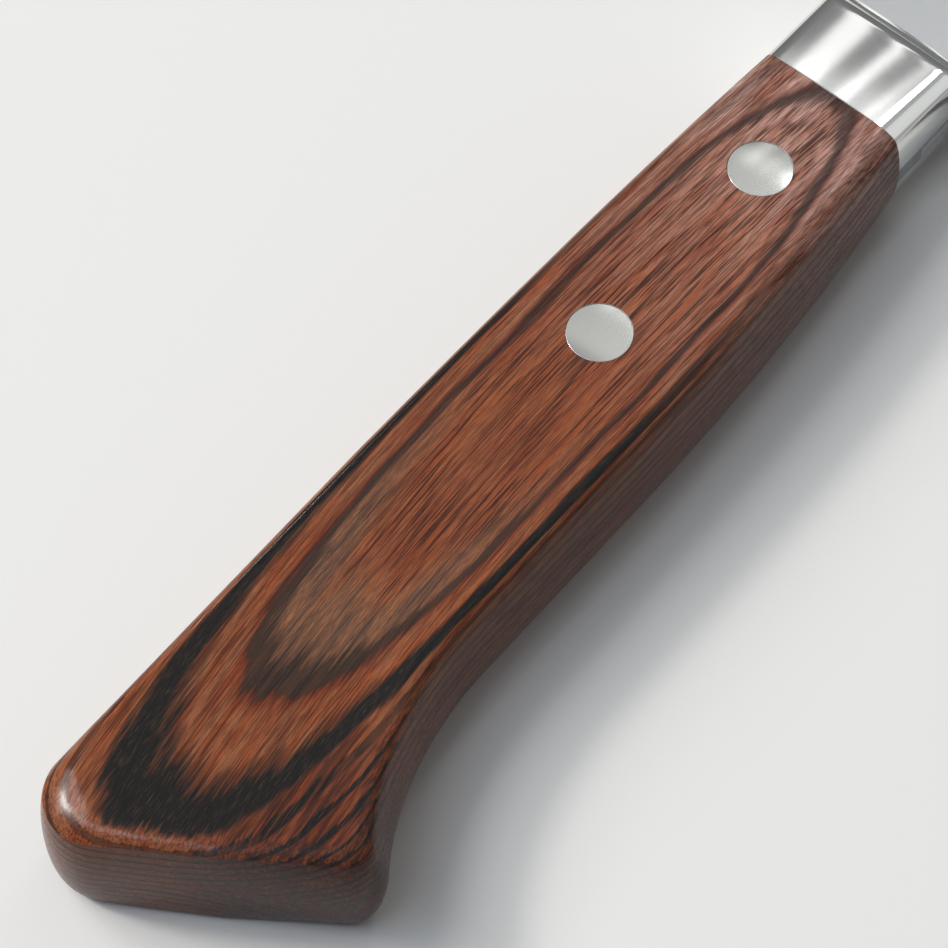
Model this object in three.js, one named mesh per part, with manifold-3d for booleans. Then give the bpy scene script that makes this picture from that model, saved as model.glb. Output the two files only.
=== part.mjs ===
// A gyuto, the Japanese chef's knife, with a Western handle: a three-layer blade, a bolster welded
// to its neck in two halves, and two scales of laminated wood riveted over a hidden tang.
// Millimetres. X runs to the tip, Y to the spine and Z out of the right-hand face. Until the last
// lines the joint of bolster and scales is X = 0, the rivets stand on Y = 0 and the middle plane of
// the blade is Z = 0.
import * as THREE from 'three';
import { mergeVertices } from 'three/addons/utils/BufferGeometryUtils.js';
import Module from 'manifold-3d';

// Handle
const handleLength = 117; // from the joint to the furthest point of the butt
const gripThickness = 15.2; // across both scales
const jointThickness = 13.2; // across both scales at the joint
const swellLength = 34; // the stretch behind the joint where the handle thickens
const jointSpine = 9.7; // height of the spine above the rivets at the joint
const gripSpine = 10.9; // the same at the hump of the grip
const humpSetback = 66; // from the joint to the hump
const spineFall = 0.5; // from the hump down to the butt
const jointBelly = 9.3; // depth of the belly below the rivets at the joint
const gripBelly = 12.7; // the same where the belly runs level
const levelSetback = 50; // from the joint to where the belly starts to run level
const flareSetback = 72; // from the joint to where the belly starts to flare
const flareAngle = 38; // degrees off level where the flare reaches the butt
const buttDrop = 21.4; // depth of the butt's lower corner below the rivets
const buttSlant = 33; // degrees off a square cut, the spine side the longer
const buttSpineRadius = 6;
const buttBellyRadius = 3.8;

// Edges of the handle, seen in section. The side leans in up to a crease, which lies some drop below
// the flat face, and rolls over into the face from there. The shoulder is the share of the roll that
// stays low, 0 for a round edge.
const spineEdge = { lean: 0.5, drop: 1.7, roll: 1.7, shoulder: 0.1 };
const jointEdge = { lean: 1, drop: 0.8, roll: 2.6, shoulder: 0.4 };
const bellyEdge = { lean: 1.7, drop: 0.8, roll: 2, shoulder: 0.45 };
const flareEdge = { lean: 1.4, drop: 1, roll: 2.2, shoulder: 0.4 };
const buttEdge = { lean: 0.4, drop: 0.75, roll: 2.8, shoulder: 0.5 };
const cornerEdge = { lean: 0.5, drop: 1.7, roll: 4.6, shoulder: 0.5 }; // where the spine turns into the butt
const cornerSpread = 0.3; // share of the way round the butt over which that softer edge comes and goes

// Bolster
const bolsterLength = 12.2; // from the joint to the front of its shoulder
const shoulderRound = 2.2; // length of the rounding at its front
const scoopLength = 2.5; // from the shoulder's front to the toe on the blade
const scoopHeight = 4; // height above the middle plane where rounding turns into scoop
const toeHeight = 0.3; // of the toe above the blade

// Blade
const bladeLength = 210; // heel to tip
const bladeHeight = 46; // spine to edge at the heel
const neckThickness = 2.2;
const tipThickness = 1.2;
const coreThickness = 0.8;
const chinLean = 1; // how far the heel stands ahead of the neck
const chinRadius = 3;
const tipDrop = 14; // tip below the line of the spine
const spineTipAngle = 14; // degrees between the spine and level at the tip
const spineLevelReach = 110; // pull of the level neck on the spine's curve
const spineTipReach = 55; // pull of the tip on it
const edgeTipAngle = 38; // degrees between the edge and level at the tip
const edgeLevelReach = 128;
const edgeTipReach = 46;
const edgeThickness = 0.08;
const bevelHeight = 1.2; // height of the sharpened bevel
const bevelThickness = 0.32; // of the blade behind the bevel
const grindSlope = 0.03; // rise of each side per millimetre above the bevel

// Tang
const weldReach = 4; // from the joint forward to the weld between tang and blade
const tangHeight = 11; // at the joint
const tangEndHeight = 8;
const tangPastRivet = 13; // from the rear rivet to the end of the tang
const tangEndRadius = 2.5;
const tangFit = 0.2; // free space round the tang in its pocket

// Rivets
const frontRivetSetback = 12.75; // from the joint
const rearRivetSetback = 39.5;
const rivetHeadRadius = 3.5;
const rivetHeadDepth = 2.2;
const rivetTubeRadius = 2.5;
const rivetBoreRadius = 1.6;
const rivetFloor = 0.6; // thickness left between the bore and the head
const rivetFit = 0.1; // free space round heads, tubes and shanks

// Fineness of the curves
const sideSteps = 4; // up a side to its crease
const rollSteps = 3; // over a roll
const gripSteps = 22; // along the grip
const buttSteps = 18; // round the butt
const bladeSteps = 26; // along the blade
const roundSteps = 32; // round a rivet
const tipCrowding = 1.5; // above 1, the sections of the blade stand closer near its tip
const slopeSpan = 1; // length over which the slope of the belly is taken
const sideSweep = Math.PI / 3; // angle of the ellipse that each side follows up to its crease
const margin = 2; // how far cutting bodies reach past what they cut

const wasm = await Module();
wasm.setup();

const degrees = THREE.MathUtils.degToRad;
const point = (x, y) => new THREE.Vector2(x, y);
const neckHalf = neckThickness / 2;

// A geometry as a solid that can be cut.
function solid(geometry) {
  const bare = new THREE.BufferGeometry();
  bare.setAttribute('position', geometry.getAttribute('position'));
  bare.setIndex(geometry.getIndex());
  const merged = mergeVertices(bare, 1e-4);
  const corners = merged.getIndex().array;
  const kept = [];
  for (let i = 0; i < corners.length; i += 3) {
    const [a, b, c] = corners.slice(i, i + 3);
    if (a !== b && b !== c && c !== a) {
      kept.push(a, b, c);
    }
  }
  const mesh = new wasm.Mesh({
    numProp: 3,
    vertProperties: new Float32Array(merged.getAttribute('position').array),
    triVerts: new Uint32Array(kept),
  });
  return new wasm.Manifold(mesh);
}

// The solid as a geometry again.
function skin(body) {
  const mesh = body.getMesh();
  const geometry = new THREE.BufferGeometry();
  geometry.setAttribute('position', new THREE.BufferAttribute(mesh.vertProperties, 3));
  geometry.setIndex(new THREE.BufferAttribute(mesh.triVerts, 1));
  return geometry;
}

// The left-hand twin of a geometry that was made for the right-hand side.
function mirrored(geometry) {
  const twin = geometry.clone().scale(1, 1, -1);
  const corners = twin.getIndex().array;
  for (let i = 0; i < corners.length; i += 3) {
    [corners[i + 1], corners[i + 2]] = [corners[i + 2], corners[i + 1]];
  }
  return twin;
}

// A body drawn through rings of points, from the ring nearest the tip to the one nearest the butt.
// Each ring runs over the right-hand face from spine to belly. The far end stays open where its ring
// folds onto itself.
function loft(rings, closeFarEnd) {
  const count = rings[0].length;
  const corners = [];
  for (let i = 0; i + 1 < rings.length; i++) {
    for (let j = 0; j < count; j++) {
      const next = (j + 1) % count;
      const here = i * count;
      const there = here + count;
      corners.push(here + j, there + j, here + next);
      corners.push(there + j, there + next, here + next);
    }
  }
  const far = (rings.length - 1) * count;
  for (let j = 0; j + 2 < count; j++) {
    corners.push(count - 1, j, j + 1);
    if (closeFarEnd) {
      corners.push(far + count - 1, far + j + 1, far + j);
    }
  }
  const geometry = new THREE.BufferGeometry();
  geometry.setAttribute('position', new THREE.Float32BufferAttribute(rings.flat(2), 3));
  geometry.setIndex(corners);
  return geometry;
}

// A body turned about the Z axis from pairs of radius and height.
function turned(pairs) {
  const profile = pairs.map(([radius, height]) => point(radius, height));
  return new THREE.LatheGeometry(profile, roundSteps).rotateX(Math.PI / 2);
}

function plate(shape, low, high) {
  const settings = { depth: high - low, bevelEnabled: false, curveSegments: bladeSteps };
  return new THREE.ExtrudeGeometry(shape, settings).translate(0, 0, low);
}

function arc(centre, radius, from, to, clockwise) {
  return new THREE.EllipseCurve(centre.x, centre.y, radius, radius, from, to, clockwise);
}

// Where a curve that runs along X has the given X.
function heightAt(curve, x) {
  const rising = curve.getPoint(1).x > curve.getPoint(0).x;
  let low = 0;
  let high = 1;
  for (let i = 0; i < 40; i++) {
    const middle = (low + high) / 2;
    if (curve.getPoint(middle).x < x === rising) {
      low = middle;
    } else {
      high = middle;
    }
  }
  return curve.getPoint(low).y;
}

// Outline of the handle: the spine line, the round of the butt, its slanted cut, its lower corner and
// the belly line.
const buttOutward = point(-Math.cos(degrees(buttSlant)), -Math.sin(degrees(buttSlant)));
const buttSpine = gripSpine - spineFall;
const spineCentre = point(buttSpineRadius - handleLength, buttSpine - buttSpineRadius);
const cutStart = spineCentre.clone().addScaledVector(buttOutward, buttSpineRadius);

const bellyCentreY = buttBellyRadius - buttDrop;
const cutShift = buttSpineRadius - buttBellyRadius - (bellyCentreY - spineCentre.y) * buttOutward.y;
const bellyCentre = point(spineCentre.x + cutShift / buttOutward.x, bellyCentreY);
const cutEnd = bellyCentre.clone().addScaledVector(buttOutward, buttBellyRadius);
const cutMiddle = cutStart.clone().lerp(cutEnd, 0.5);

const flareRise = point(Math.cos(degrees(flareAngle)), Math.sin(degrees(flareAngle)));
const flareStart = point(-flareSetback, -gripBelly);
const flareOutward = point(flareRise.y, -flareRise.x);
const flareEnd = bellyCentre.clone().addScaledVector(flareOutward, buttBellyRadius);
const flareReach = flareStart.distanceTo(flareEnd) / 3;

const hump = point(-humpSetback, gripSpine);
const spineRise = new THREE.QuadraticBezierCurve(
  point(0, jointSpine),
  point(-humpSetback / 2, gripSpine),
  hump,
);
const spineRun = new THREE.LineCurve(hump, point(spineCentre.x, buttSpine));
const bellyRise = new THREE.QuadraticBezierCurve(
  point(0, -jointBelly),
  point(-levelSetback / 2, -gripBelly),
  point(-levelSetback, -gripBelly),
);
const bellyFlare = new THREE.CubicBezierCurve(
  flareStart,
  point(flareStart.x - flareReach, flareStart.y),
  flareEnd.clone().addScaledVector(flareRise, flareReach),
  flareEnd,
);

function spineAt(x) {
  return heightAt(x > -humpSetback ? spineRise : spineRun, x);
}

function bellyAt(x) {
  if (x > -levelSetback) {
    return heightAt(bellyRise, x);
  }
  return x > -flareSetback ? -gripBelly : heightAt(bellyFlare, x);
}

function halfThickness(x) {
  const thinning = Math.max(0, 1 + x / swellLength);
  return (gripThickness - (gripThickness - jointThickness) * thinning ** 2) / 2;
}

function blended(from, to, share) {
  const mix = (key) => THREE.MathUtils.lerp(from[key], to[key], share);
  return { lean: mix('lean'), drop: mix('drop'), roll: mix('roll'), shoulder: mix('shoulder') };
}

function scaled(edge, factor) {
  return { ...edge, lean: edge.lean * factor, drop: edge.drop * factor, roll: edge.roll * factor };
}

function bellyEdgeAt(x) {
  if (x > -levelSetback) {
    return blended(jointEdge, bellyEdge, -x / levelSetback);
  }
  return blended(bellyEdge, flareEdge, (x + levelSetback) / (flareEnd.x + levelSetback));
}

// One edge in section, from the middle plane up to where the face runs flat: points of inset and height.
function edgeProfile(edge, half) {
  const crease = half - edge.drop;
  const points = [];
  for (let k = 0; k < sideSteps; k++) {
    const angle = (sideSweep * k) / sideSteps;
    const inset = (edge.lean * (1 - Math.cos(angle))) / (1 - Math.cos(sideSweep));
    points.push(point(inset, (crease * Math.sin(angle)) / Math.sin(sideSweep)));
  }
  const start = point(edge.lean, crease);
  const pull = point(edge.lean + edge.roll * edge.shoulder, half);
  const end = point(edge.lean + edge.roll, half);
  return points.concat(new THREE.QuadraticBezierCurve(start, pull, end).getPoints(rollSteps));
}

// A ring of the right-hand half: up the spine edge, across the face, down the belly edge and back to
// the middle plane. Each rail is a point of the outline, the direction from there into the wood, and
// the form of the edge there.
function halfRing(spine, belly, middle, half) {
  const side = ({ at, inward, edge }) =>
    edgeProfile(edge, half).map((p) => [at.x + inward.x * p.x, at.y + inward.y * p.x, p.y]);
  const face = [middle.x, middle.y, half];
  const back = [middle.x, middle.y, 0];
  return [...side(spine), face, ...side(belly).reverse(), back];
}

function spineRail(x) {
  return { at: point(x, spineAt(x)), inward: point(0, -1), edge: spineEdge };
}

function bellyRail(x) {
  const rise = bellyAt(x + slopeSpan / 2) - bellyAt(x - slopeSpan / 2);
  const slope = x > -flareSetback ? 0 : rise / slopeSpan;
  return { at: point(x, bellyAt(x)), inward: point(-slope, 1).normalize(), edge: bellyEdgeAt(x) };
}

function middleOf(x) {
  const edge = bellyEdgeAt(x);
  const low = bellyAt(x) + edge.lean + edge.roll;
  const high = spineAt(x) - spineEdge.lean - spineEdge.roll;
  return point(x, (low + high) / 2);
}

// Half of the handle without its holes. Square rings follow the grip, and the last ones fan out round
// the butt.
function handleHalf() {
  const rings = [];
  for (let i = 0; i <= gripSteps; i++) {
    const x = (flareEnd.x * i) / gripSteps;
    rings.push(halfRing(spineRail(x), bellyRail(x), middleOf(x), halfThickness(x)));
  }
  const cutAngle = Math.PI + degrees(buttSlant);
  const flareNormal = degrees(flareAngle) - Math.PI / 2;
  const overSpine = new THREE.CurvePath();
  const lastSpine = point(flareEnd.x, spineAt(flareEnd.x));
  overSpine.add(new THREE.LineCurve(lastSpine, point(spineCentre.x, buttSpine)));
  overSpine.add(arc(spineCentre, buttSpineRadius, Math.PI / 2, cutAngle, false));
  overSpine.add(new THREE.LineCurve(cutStart, cutMiddle));
  const underBelly = new THREE.CurvePath();
  underBelly.add(arc(bellyCentre, buttBellyRadius, flareNormal, cutAngle - 2 * Math.PI, true));
  underBelly.add(new THREE.LineCurve(cutEnd, cutMiddle));
  const [straight, turn] = overSpine.getCurveLengths();
  const corner = (straight + (turn - straight) / 2) / overSpine.getLength();
  const start = middleOf(flareEnd.x);
  const end = cutMiddle.clone().addScaledVector(buttOutward, -2 * (buttEdge.lean + buttEdge.roll));
  for (let i = 1; i <= buttSteps; i++) {
    const share = i / buttSteps;
    const over = overSpine.getTangent(share);
    const under = underBelly.getTangent(share);
    const softness = THREE.MathUtils.smoothstep(1 - Math.abs(share - corner) / cornerSpread, 0, 1);
    const spine = {
      at: overSpine.getPoint(share),
      inward: point(-over.y, over.x),
      edge: blended(blended(spineEdge, buttEdge, share), cornerEdge, softness),
    };
    const belly = {
      at: underBelly.getPoint(share),
      inward: point(under.y, -under.x),
      edge: blended(flareEdge, buttEdge, share),
    };
    const middle = start.clone().lerp(end, share);
    rings.push(halfRing(spine, belly, middle, halfThickness(middle.x)));
  }
  return loft(rings, false);
}

// Outline of the tang with some free space round it. Ahead of the joint it is as high as the bolster.
function tangShape(free) {
  const end = -rearRivetSetback - tangPastRivet - free;
  const front = tangHeight / 2 + free;
  const back = tangEndHeight / 2 + free;
  const shape = new THREE.Shape();
  shape.moveTo(weldReach, jointSpine);
  shape.lineTo(0, jointSpine);
  shape.lineTo(0, front);
  shape.lineTo(end + tangEndRadius, back);
  shape.quadraticCurveTo(end, back, end, back - tangEndRadius);
  shape.lineTo(end, tangEndRadius - back);
  shape.quadraticCurveTo(end, -back, end + tangEndRadius, -back);
  shape.lineTo(0, -front);
  shape.lineTo(0, -jointBelly);
  shape.lineTo(weldReach, -jointBelly);
  shape.closePath();
  return shape;
}

function tang() {
  const shape = tangShape(0);
  for (const setback of [frontRivetSetback, rearRivetSetback]) {
    shape.holes.push(new THREE.Path().absarc(-setback, 0, rivetTubeRadius + tangFit, 0, 2 * Math.PI));
  }
  return plate(shape, -neckHalf, neckHalf);
}

function headSeat(setback) {
  return halfThickness(-setback) - rivetHeadDepth;
}

function handleScale(half) {
  const pocket = plate(tangShape(tangFit), -neckHalf - tangFit, neckHalf + tangFit);
  let scale = solid(half).subtract(solid(pocket));
  for (const setback of [frontRivetSetback, rearRivetSetback]) {
    const tube = rivetTubeRadius + rivetFit;
    const head = rivetHeadRadius + rivetFit;
    const seat = headSeat(setback);
    const hole = turned([
      [0, -margin],
      [tube, -margin],
      [tube, seat],
      [head, seat],
      [head, gripThickness],
      [0, gripThickness],
    ]);
    scale = scale.subtract(solid(hole.translate(-setback, 0, 0)));
  }
  return skin(scale);
}

// The half with the shank, its head ground flush with the right-hand face.
function maleRivet(setback, handle) {
  const seat = headSeat(setback);
  const shank = rivetBoreRadius - rivetFit;
  const shankEnd = rivetFloor + rivetFit - seat;
  const blank = turned([
    [0, shankEnd],
    [shank, shankEnd],
    [shank, seat],
    [rivetHeadRadius, seat],
    [rivetHeadRadius, gripThickness],
    [0, gripThickness],
  ]);
  return skin(solid(blank.translate(-setback, 0, 0)).intersect(handle));
}

// The half with the tube, its head ground flush with the left-hand face.
function femaleRivet(setback, handle) {
  const seat = headSeat(setback);
  const tubeEnd = seat - rivetFit;
  const floor = rivetFloor - seat;
  const blank = turned([
    [0, -gripThickness],
    [rivetHeadRadius, -gripThickness],
    [rivetHeadRadius, -seat],
    [rivetTubeRadius, -seat],
    [rivetTubeRadius, tubeEnd],
    [rivetBoreRadius, tubeEnd],
    [rivetBoreRadius, floor],
    [0, floor],
  ]);
  return skin(solid(blank.translate(-setback, 0, 0)).intersect(handle));
}

// Side view of the bolster's face: along the handle, over the rounding and down the scoop to the toe
// on the blade.
function bolsterLine() {
  const brow = bolsterLength - shoulderRound;
  const browHeight = halfThickness(brow);
  const line = [0, brow / 2, brow].map((x) => point(x, halfThickness(x)));
  for (let k = 1; k <= sideSteps; k++) {
    const angle = (Math.PI / 2) * (k / sideSteps);
    const fall = (browHeight - scoopHeight) * (1 - Math.cos(angle));
    line.push(point(brow + shoulderRound * Math.sin(angle), browHeight - fall));
  }
  const toe = neckHalf + toeHeight;
  for (let k = 1; k <= sideSteps; k++) {
    const angle = (Math.PI / 2) * (k / sideSteps);
    const x = bolsterLength + scoopLength * (1 - Math.cos(angle));
    line.push(point(x, scoopHeight - (scoopHeight - toe) * Math.sin(angle)));
  }
  return line.reverse();
}

function bolsterHalf() {
  const middle = middleOf(0).y;
  const rings = bolsterLine().map((p) => {
    const factor = p.y / halfThickness(0);
    const spine = { at: point(p.x, jointSpine), inward: point(0, -1), edge: scaled(spineEdge, factor) };
    const belly = { at: point(p.x, -jointBelly), inward: point(0, 1), edge: scaled(jointEdge, factor) };
    return halfRing(spine, belly, point(p.x, middle), p.y);
  });
  const neck = new THREE.BoxGeometry(bladeLength, bladeLength, neckThickness);
  return skin(solid(loft(rings, true)).subtract(solid(neck)));
}

// Lines of the blade: the spine from the neck to the tip, and the edge from the heel to the tip.
const neckFront = bolsterLength + scoopLength;
const heel = point(neckFront + chinLean, jointSpine - bladeHeight);
const tip = point(heel.x + bladeLength, jointSpine - tipDrop);
const spineLine = new THREE.CubicBezierCurve(
  point(neckFront, jointSpine),
  point(neckFront + spineLevelReach, jointSpine),
  point(
    tip.x - spineTipReach * Math.cos(degrees(spineTipAngle)),
    tip.y + spineTipReach * Math.sin(degrees(spineTipAngle)),
  ),
  tip,
);
const edgeLine = new THREE.CubicBezierCurve(
  heel,
  point(heel.x + edgeLevelReach, heel.y),
  point(
    tip.x - edgeTipReach * Math.cos(degrees(edgeTipAngle)),
    tip.y - edgeTipReach * Math.sin(degrees(edgeTipAngle)),
  ),
  tip,
);

// The blade seen from its side, left uncut along the edge, which the grind gives.
function bladeShape() {
  const shape = new THREE.Shape();
  shape.moveTo(weldReach, jointSpine);
  shape.lineTo(neckFront, jointSpine);
  shape.bezierCurveTo(...spineLine.v1, ...spineLine.v2, tip.x, tip.y);
  shape.lineTo(tip.x, heel.y - margin);
  shape.lineTo(heel.x, heel.y - margin);
  shape.lineTo(heel.x, heel.y);
  shape.lineTo(neckFront, -jointBelly - chinRadius);
  shape.quadraticCurveTo(neckFront, -jointBelly, neckFront - chinRadius, -jointBelly);
  shape.lineTo(weldReach, -jointBelly);
  shape.closePath();
  return shape;
}

function grindHalf(rise) {
  if (rise < bevelHeight) {
    return THREE.MathUtils.lerp(edgeThickness, bevelThickness, rise / bevelHeight) / 2;
  }
  return bevelThickness / 2 + grindSlope * (rise - bevelHeight);
}

// One section of the ground blade: tapered flats down from the spine, the grind, and the bevel at the edge.
function grindRing(x) {
  const edgeY = x > heel.x ? heightAt(edgeLine, x) : heel.y;
  const spineY = x > neckFront ? heightAt(spineLine, x) : jointSpine;
  const rise = spineY + margin - edgeY;
  const taper = THREE.MathUtils.clamp((x - neckFront) / (tip.x - neckFront), 0, 1);
  const flat = THREE.MathUtils.lerp(neckThickness, tipThickness, taper) / 2;
  const bevel = Math.min(bevelHeight, rise / 3);
  const shoulder = Math.min(bevelHeight + (flat - bevelThickness / 2) / grindSlope, rise - margin / 2);
  const right = [
    [x, edgeY + rise, Math.min(flat, grindHalf(rise))],
    [x, edgeY + shoulder, grindHalf(shoulder)],
    [x, edgeY + bevel, grindHalf(bevel)],
    [x, edgeY, grindHalf(0)],
  ];
  return right.concat(right.map(([px, py, pz]) => [px, py, -pz]).reverse());
}

function grindBody() {
  const rings = [];
  for (let i = 0; i <= bladeSteps; i++) {
    const share = (i / bladeSteps) ** tipCrowding;
    rings.push(grindRing(THREE.MathUtils.lerp(tip.x, heel.x, share)));
  }
  rings.push(grindRing(neckFront));
  rings.push(grindRing(0));
  return loft(rings, true);
}

function bladeLayer(low, high, grind) {
  return skin(solid(plate(bladeShape(), low, high)).intersect(grind));
}

function steel(color, roughness) {
  return new THREE.MeshStandardMaterial({ color, roughness, metalness: 1 });
}

const coreSteel = steel(0xb9bcc0, 0.25);
const cladSteel = steel(0xa9adb2, 0.4);
const tangSteel = steel(0x8f9296, 0.55);
const polishedSteel = steel(0xd5d7da, 0.15);
const rivetSteel = steel(0xb4b4b2, 0.4);
const laminatedWood = new THREE.MeshStandardMaterial({ color: 0x6e3f2a, roughness: 0.35, metalness: 0 });

const half = handleHalf();
const handle = solid(half).add(solid(mirrored(half)));
const grind = solid(grindBody());
const coreHalf = coreThickness / 2;
const rightScale = handleScale(half);
const rightBolster = bolsterHalf();
const rightCladding = bladeLayer(coreHalf, neckThickness, grind);

const knife = new THREE.Group();
function place(name, geometry, material) {
  const mesh = new THREE.Mesh(geometry, material);
  mesh.name = name;
  knife.add(mesh);
}

place('blade_core', bladeLayer(-coreHalf, coreHalf, grind), coreSteel);
place('cladding_right', rightCladding, cladSteel);
place('cladding_left', mirrored(rightCladding), cladSteel);
place('tang', tang(), tangSteel);
place('bolster_right', rightBolster, polishedSteel);
place('bolster_left', mirrored(rightBolster), polishedSteel);
place('handle_scale_right', rightScale, laminatedWood);
place('handle_scale_left', mirrored(rightScale), laminatedWood);
place('front_rivet_male', maleRivet(frontRivetSetback, handle), rivetSteel);
place('front_rivet_female', femaleRivet(frontRivetSetback, handle), rivetSteel);
place('rear_rivet_male', maleRivet(rearRivetSetback, handle), rivetSteel);
place('rear_rivet_female', femaleRivet(rearRivetSetback, handle), rivetSteel);

// The knife lies on its left face: the origin goes to the middle of its box, on the surface under it.
const box = new THREE.Box3().setFromObject(knife);
const centre = box.getCenter(new THREE.Vector3());
for (const mesh of knife.children) {
  mesh.position.set(-centre.x, -centre.y, -box.min.z);
}

export default knife;
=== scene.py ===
import bmesh
import bpy
from math import cos, pi, radians, sin
from mathutils import Matrix, Quaternion, Vector


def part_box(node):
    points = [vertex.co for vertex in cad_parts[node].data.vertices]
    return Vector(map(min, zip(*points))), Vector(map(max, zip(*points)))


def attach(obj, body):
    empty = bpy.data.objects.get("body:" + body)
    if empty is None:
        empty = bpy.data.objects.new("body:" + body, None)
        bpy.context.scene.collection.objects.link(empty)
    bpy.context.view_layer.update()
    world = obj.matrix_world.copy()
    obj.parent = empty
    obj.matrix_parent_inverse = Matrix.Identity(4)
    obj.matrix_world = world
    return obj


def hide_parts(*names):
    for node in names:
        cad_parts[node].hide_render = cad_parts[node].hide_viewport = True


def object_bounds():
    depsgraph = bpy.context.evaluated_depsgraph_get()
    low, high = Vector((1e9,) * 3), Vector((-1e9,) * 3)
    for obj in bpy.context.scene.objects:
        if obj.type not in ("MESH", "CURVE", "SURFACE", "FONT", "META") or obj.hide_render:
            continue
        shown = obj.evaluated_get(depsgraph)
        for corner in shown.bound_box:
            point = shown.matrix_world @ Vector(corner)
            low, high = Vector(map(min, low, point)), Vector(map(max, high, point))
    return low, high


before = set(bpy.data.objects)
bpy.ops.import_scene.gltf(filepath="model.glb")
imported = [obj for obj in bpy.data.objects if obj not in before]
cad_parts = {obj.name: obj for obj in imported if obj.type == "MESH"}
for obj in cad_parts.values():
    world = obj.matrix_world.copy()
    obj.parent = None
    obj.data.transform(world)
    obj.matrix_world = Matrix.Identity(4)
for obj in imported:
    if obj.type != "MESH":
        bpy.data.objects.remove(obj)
cadLow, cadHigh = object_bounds()
mm = 0.001

# where the knife lies: the joint of bolster and wood, the line of the rivets, the middle of the blade
scaleLow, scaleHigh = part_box("handle_scale_right")
frontLow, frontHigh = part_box("front_rivet_male")
rearLow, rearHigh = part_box("rear_rivet_male")
tangLow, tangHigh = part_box("tang")
coreLow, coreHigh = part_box("blade_core")
bolsterLow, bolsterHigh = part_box("bolster_right")
jointX = scaleHigh.x
midZ = scaleLow.z
rivetY = (rearLow.y + rearHigh.y) / 2
print("frame: knife is %.1f mm long" % ((cadHigh.x - cadLow.x) / mm))


def spot(x, y, z=0.0):  # millimetres from joint, rivet line and middle plane, to the frame's metres
    return Vector((jointX + x * mm, rivetY + y * mm, midZ + z * mm))


def flatSpot(x, y):
    return Vector((x, y))


def mix(a, b, share):
    return a + (b - a) * share


def keep(value, low, high):
    return max(low, min(high, value))


def ease(share):  # slow at both ends
    return share * share * (3 - 2 * share)


def linear(red, green, blue):  # a colour as a picture editor shows it, 0 to 255
    channels = []
    for value in (red, green, blue):
        v = value / 255
        channels.append(v / 12.92 if v <= 0.04045 else ((v + 0.055) / 1.055) ** 2.4)
    return (*channels, 1.0)


def fill(node, sockets):  # link or set a node's inputs
    for key, value in sockets.items():
        if isinstance(value, bpy.types.NodeSocket):
            node.id_data.links.new(value, node.inputs[key])
        else:
            node.inputs[key].default_value = value


def benchFor(tree):  # a short way to put nodes into a tree
    def put(kind, sockets=None, **settings):
        node = tree.nodes.new(kind)
        for key, value in settings.items():
            setattr(node, key, value)
        fill(node, sockets or {})
        return node

    return put


def treeOf(terms):
    return next(term.id_data for term in terms if isinstance(term, bpy.types.NodeSocket))


def calc(operation, *terms, clamp=False):
    put = benchFor(treeOf(terms))
    return put("ShaderNodeMath", dict(enumerate(terms)), operation=operation, use_clamp=clamp).outputs[0]


def plus(a, b, clamp=False):
    return calc("ADD", a, b, clamp=clamp)


def minus(a, b, clamp=False):
    return calc("SUBTRACT", a, b, clamp=clamp)


def times(a, b, clamp=False):
    return calc("MULTIPLY", a, b, clamp=clamp)


def over(a, b, clamp=False):
    return calc("DIVIDE", a, b, clamp=clamp)


def vec(operation, *terms):
    put = benchFor(treeOf(terms))
    outputs = put("ShaderNodeVectorMath", dict(enumerate(terms)), operation=operation).outputs
    return outputs["Value" if operation == "DOT_PRODUCT" else "Vector"]


def scaled(vector, factor):
    put = benchFor(vector.id_data)
    return put("ShaderNodeVectorMath", {0: vector, "Scale": factor}, operation="SCALE").outputs[0]


def axesOf(vector):
    return benchFor(vector.id_data)("ShaderNodeSeparateXYZ", {0: vector}).outputs


def fromAxes(*terms):
    return benchFor(treeOf(terms))("ShaderNodeCombineXYZ", dict(enumerate(terms))).outputs[0]


def ramp(value, low, high, start=0.0, end=1.0, kind="SMOOTHSTEP"):
    put = benchFor(value.id_data)
    return put("ShaderNodeMapRange", {
        "Value": value, "From Min": low, "From Max": high, "To Min": start, "To Max": end,
    }, interpolation_type=kind).outputs[0]


def noiseAt(place, detail, roughness):
    put = benchFor(place.id_data)
    return put("ShaderNodeTexNoise", {
        "Vector": place, "Scale": 1.0, "Detail": detail, "Roughness": roughness,
    }).outputs["Fac"]


def newTree(name, treeKind, inputs, outputs):  # an input is a first value, or a kind that has no value
    tree = bpy.data.node_groups.new(name, treeKind)
    kinds = {float: "Float", int: "Int"}
    for key, value in inputs.items():
        kind = kinds.get(type(value), value)
        socket = tree.interface.new_socket(key, in_out="INPUT", socket_type="NodeSocket" + kind)
        if kind != value:
            socket.default_value = value
    for key, kind in outputs.items():
        tree.interface.new_socket(key, in_out="OUTPUT", socket_type="NodeSocket" + kind)
    put = benchFor(tree)
    return tree, put, put("NodeGroupInput").outputs


def setInputs(modifier, values):
    for item in modifier.node_group.interface.items_tree:
        if item.item_type == "SOCKET" and item.in_out == "INPUT" and item.name in values:
            modifier[item.identifier] = values[item.name]


def modifiedMesh(holder):  # a copy of its mesh with the modifiers in place
    return bpy.data.meshes.new_from_object(holder.evaluated_get(bpy.context.evaluated_depsgraph_get()))


def grow(guide, tree, values, name):  # run a tree on its guide mesh and keep the result as a plain object
    holder = bpy.data.objects.new(name + "Guide", guide)
    bpy.context.scene.collection.objects.link(holder)
    modifier = holder.modifiers.new("grow", "NODES")
    modifier.node_group = tree
    setInputs(modifier, values)
    mesh = modifiedMesh(holder)
    bpy.data.objects.remove(holder)
    return newObject(name, mesh)


def newObject(name, data):
    data.name = name
    holder = bpy.data.objects.new(name, data)
    bpy.context.scene.collection.objects.link(holder)
    return holder


def objectFrom(build, name):
    mesh = bpy.data.meshes.new(name)
    build.to_mesh(mesh)
    build.free()
    return newObject(name, mesh)


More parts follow.
